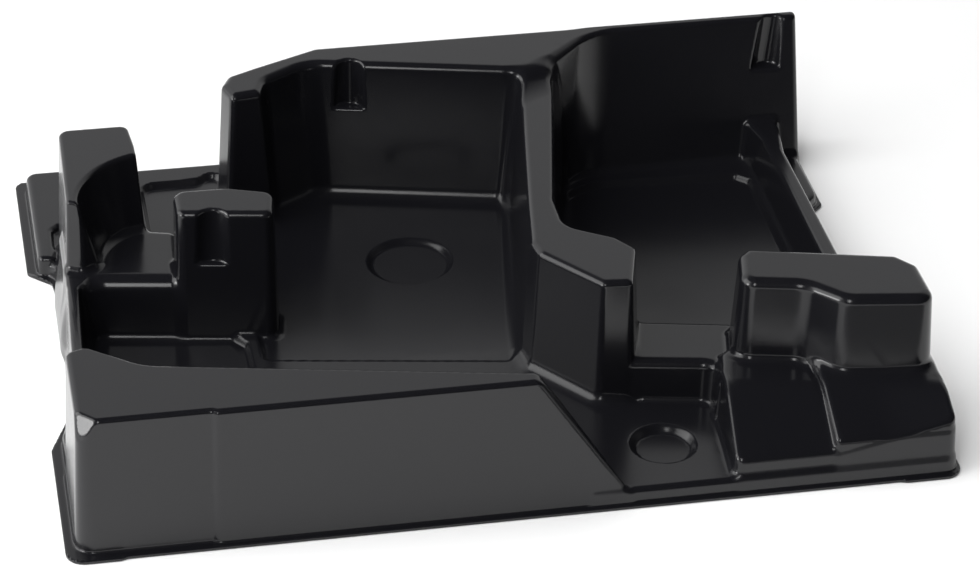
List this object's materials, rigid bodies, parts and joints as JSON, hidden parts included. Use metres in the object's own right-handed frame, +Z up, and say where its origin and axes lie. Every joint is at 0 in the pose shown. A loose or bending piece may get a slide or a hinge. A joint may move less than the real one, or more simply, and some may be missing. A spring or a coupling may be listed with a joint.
{
  "type": "tool case insert",
  "caption": "Thin formed tray for a tool case, with tall hollow blocks, a dividing spine and pockets that hold a machine, its battery and its accessories.",
  "frame": {"origin": "centre of the bounding box at the plane the base flange stands on", "axes": "+X to the right along the long side, +Y from the front to the back wall, +Z up out of the case"},
  "size_m": [0.378, 0.311, 0.074],
  "materials": {
    "gloss_plastic": "smooth glossy black formed plastic sheet"
  },
  "bodies": {
    "root": {"case_insert": "gloss_plastic"}
  },
  "joints": []
}
